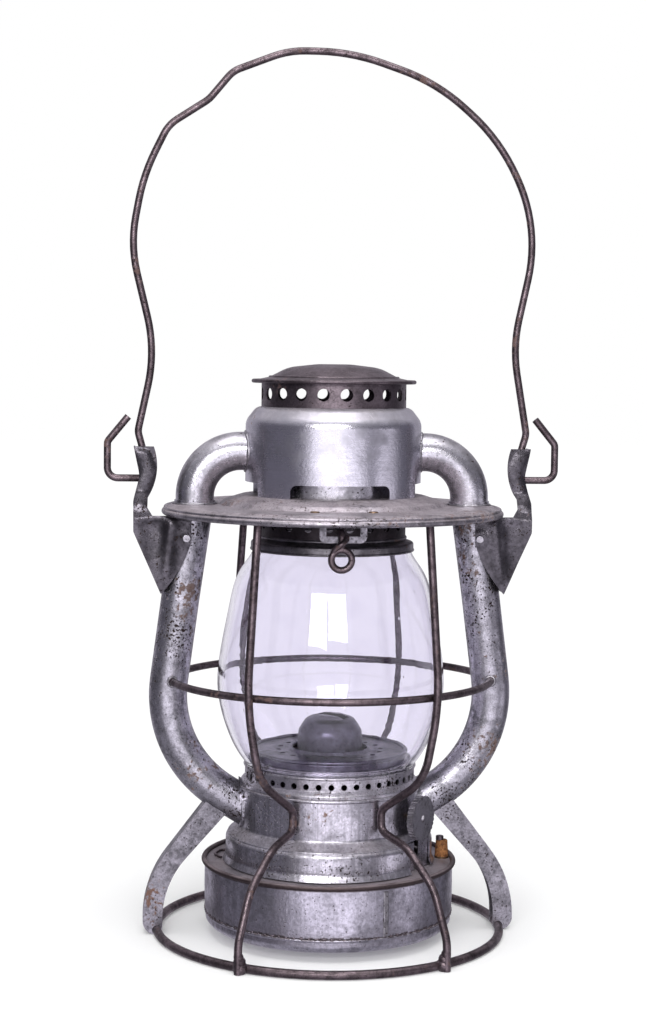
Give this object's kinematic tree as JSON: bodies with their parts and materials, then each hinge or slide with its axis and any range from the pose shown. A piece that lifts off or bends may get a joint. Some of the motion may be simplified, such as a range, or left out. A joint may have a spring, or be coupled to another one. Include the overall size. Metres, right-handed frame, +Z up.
{
  "type": "barn lantern",
  "caption": "Tubular oil hand lantern with wire guard, glass globe, drop-out fount with wick raiser, lift-up globe dome and swinging wire bail.",
  "frame": {"origin": "centre of the base ring on the floor, on the lantern's upright axis", "axes": "+Z up, -Y towards the front, side tubes and bail hooks along X"},
  "size_m": [0.2212, 0.1722, 0.4283],
  "materials": {
    "tinned_steel": "worn tin",
    "dark_steel": "dark weathered",
    "wire_steel": "rust-brown wire",
    "fount_steel": "frosted tin",
    "brass_trim": "dulled",
    "globe_glass": "clear, slightly violet",
    "cork": "matt",
    "wick_cotton": "woven"
  },
  "bodies": {
    "frame": {"base_ring": "wire_steel", "leg_left": "tinned_steel", "leg_right": "tinned_steel", "guard_wire_front_left": "wire_steel", "guard_wire_front_right": "wire_steel", "guard_wire_rear_left": "wire_steel", "guard_wire_rear_right": "wire_steel", "guard_hoop_front": "wire_steel", "guard_hoop_rear": "wire_steel", "side_tube_left": "tinned_steel", "side_tube_right": "tinned_steel", "tube_collar_left": "tinned_steel", "tube_collar_right": "tinned_steel", "elbow_left": "tinned_steel", "elbow_right": "tinned_steel", "guard_plate": "tinned_steel", "lift_strap": "tinned_steel", "strap_rivets": "brass_trim", "ear_left": "tinned_steel", "ear_right": "tinned_steel", "ear_rivets": "wire_steel", "canopy": "tinned_steel", "flue": "dark_steel", "cap_collar": "dark_steel", "cap": "dark_steel", "air_chamber": "tinned_steel", "gallery_band": "tinned_steel", "burner_deck": "dark_steel", "globe": "globe_glass"},
    "dome": {"dome_ring": "dark_steel", "globe_seat": "dark_steel", "lift_eye": "wire_steel"},
    "fount": {"fount_wall": "fount_steel", "fount_bottom": "fount_steel", "fount_top": "fount_steel", "filler_neck": "brass_trim", "fount_catch": "wire_steel", "burner_base": "brass_trim", "burner_body": "dark_steel", "burner_dome": "dark_steel", "wick_tube": "brass_trim"},
    "wick_body": {"wick": "wick_cotton"},
    "knob": {"wick_spindle": "brass_trim", "wick_wheels": "brass_trim", "wick_knob": "tinned_steel", "knob_rivet": "tinned_steel"},
    "cork": {"filler_cork": "cork", "cork_cap": "dark_steel"},
    "bail_body": {"bail": "wire_steel"}
  },
  "joints": [
    {"name": "bail_hinge", "type": "hinge", "parent": "frame", "child": "bail_body", "pos_m": [0, 0, 0.222], "axis": [-1, 0, 0], "range_deg": [0, 150]},
    {"name": "dome_lift", "type": "slide", "parent": "frame", "child": "dome", "axis": [0, 0, 1], "range_m": [0, 0.007]},
    {"name": "fount_drop", "type": "slide", "parent": "frame", "child": "fount", "axis": [0, 0, -1], "range_m": [0, 0.11]},
    {"name": "knob_turn", "type": "hinge", "parent": "fount", "child": "knob", "pos_m": [0.00241, 0.00319, 0.061], "axis": [-0.7986, 0.6018, 0], "range_deg": [-76, 152]},
    {"name": "wick_feed", "type": "slide", "parent": "fount", "child": "wick_body", "axis": [0, 0, 1], "range_m": [-0.004, 0.008]},
    {"name": "cork_pull", "type": "slide", "parent": "fount", "child": "cork", "axis": [0, 0, 1], "range_m": [0, 0.012]}
  ],
  "couplings": [
    {"joint": "wick_feed", "follows": "knob_turn", "m_per_rad": 0.003}
  ]
}
